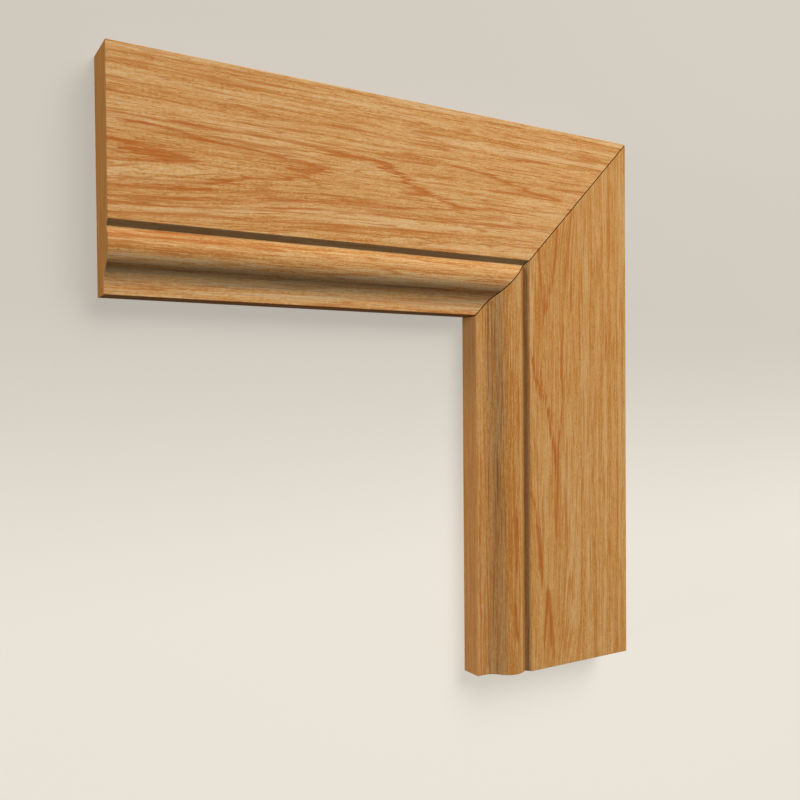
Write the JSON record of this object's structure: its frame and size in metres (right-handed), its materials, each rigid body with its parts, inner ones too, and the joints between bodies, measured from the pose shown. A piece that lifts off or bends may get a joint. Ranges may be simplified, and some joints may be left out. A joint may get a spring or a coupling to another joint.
{
  "type": "architrave moulding",
  "caption": "Mitred corner of oak architrave: a head and a leg with a flat face, a sharp quirk, and a round bead falling to a cove and a thin inner edge. Trims a door or window opening.",
  "frame": {"origin": "middle of the rectangle that the head and the leg span, on the plane of their backs", "axes": "+Z out of the moulded face, +X along the head towards the mitre, +Y along the leg from its foot towards the mitre"},
  "size_m": [0.288, 0.288, 0.02],
  "materials": {
    "oak": "honey-coloured oak with a clear satin oil finish"
  },
  "bodies": {
    "root": {"architrave_head": "oak", "architrave_leg": "oak"}
  },
  "joints": []
}
